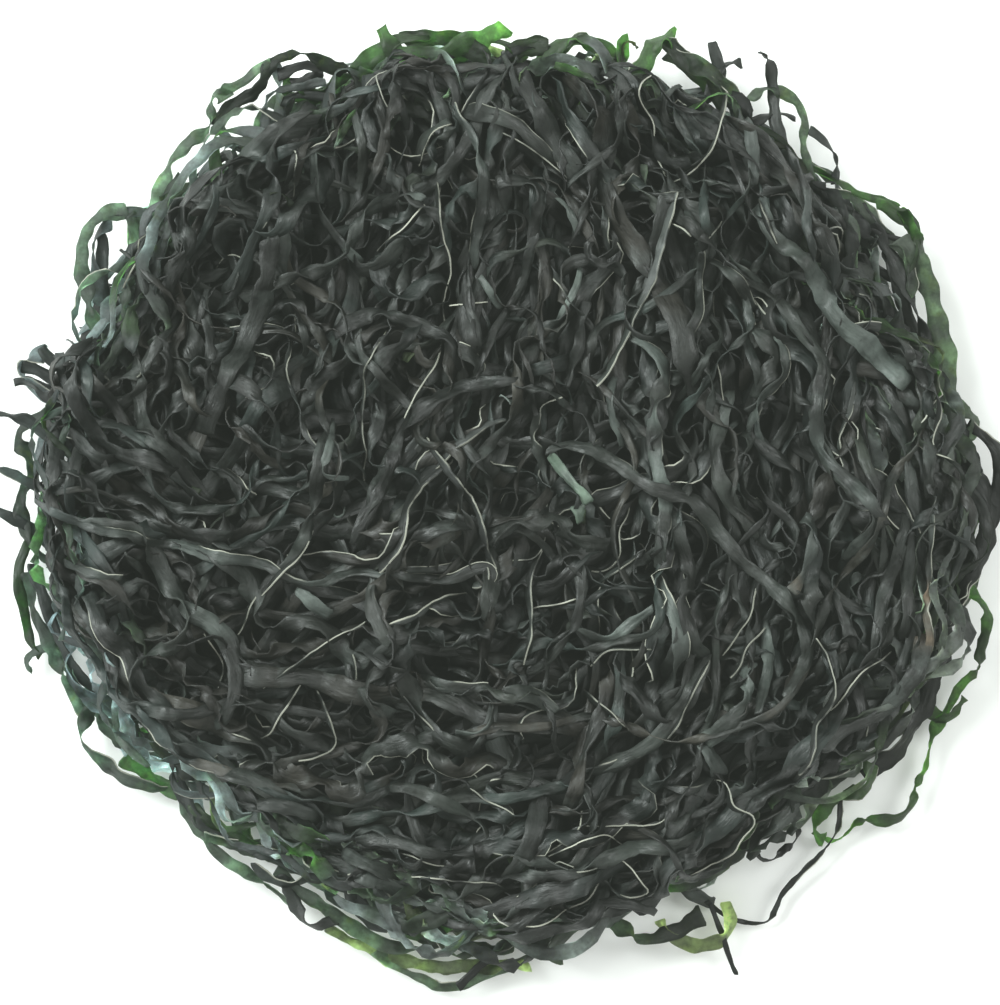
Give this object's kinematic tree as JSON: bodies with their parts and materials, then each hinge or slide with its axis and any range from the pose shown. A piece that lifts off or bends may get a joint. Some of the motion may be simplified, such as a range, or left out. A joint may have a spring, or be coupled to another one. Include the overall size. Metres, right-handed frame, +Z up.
{
  "type": "round nest of dried shredded kelp",
  "caption": "Flat round nest of long dried kelp ribbons, wound loosely round and round, with an open, springy rim and a flat underside.",
  "frame": {"origin": "under the middle of the nest, on the surface that it lies on", "axes": "+Z up through the nest's thickness; +Y towards the far side as it is seen from above, +X to the right"},
  "size_m": [0.2475, 0.2412, 0.0364],
  "materials": {
    "dried_kelp": "satin",
    "green_kelp": "satin",
    "pale_kelp": "matte"
  },
  "bodies": {
    "root": {"kelp_nest": "dried_kelp"}
  },
  "joints": []
}
